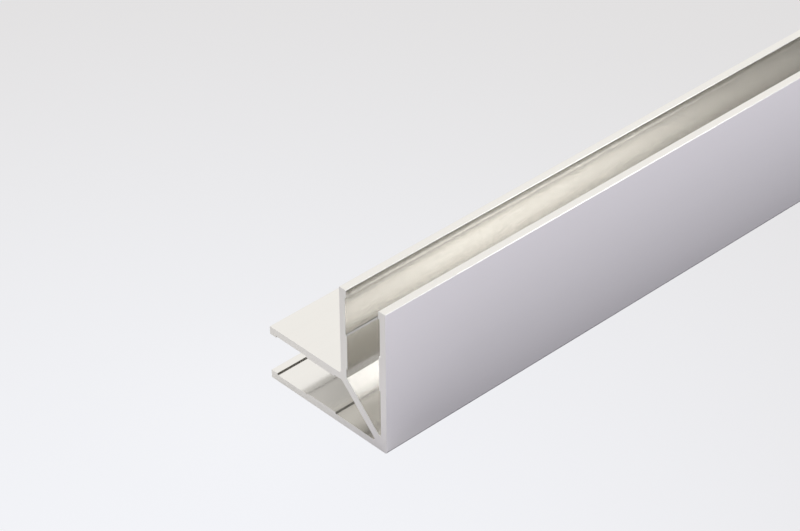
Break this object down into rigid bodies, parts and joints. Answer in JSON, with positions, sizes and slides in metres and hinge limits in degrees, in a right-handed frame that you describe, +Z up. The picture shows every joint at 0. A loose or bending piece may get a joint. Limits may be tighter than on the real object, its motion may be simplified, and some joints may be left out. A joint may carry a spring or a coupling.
{
  "type": "aluminium extrusion profile",
  "caption": "Straight extruded aluminium corner profile with parallel outer and inner legs and a diagonal web, forming panel slots at a right angle.",
  "frame": {"origin": "middle of the length and width, on the floor under the lying outer leg", "axes": "+Y along the length, +Z up along the upright outer leg, +X towards the outer face of the upright leg"},
  "size_m": [0.03, 1, 0.03],
  "materials": {
    "aluminium": "satin natural anodised, with sawn ends"
  },
  "bodies": {
    "root": {"corner_profile": "aluminium"}
  },
  "joints": []
}
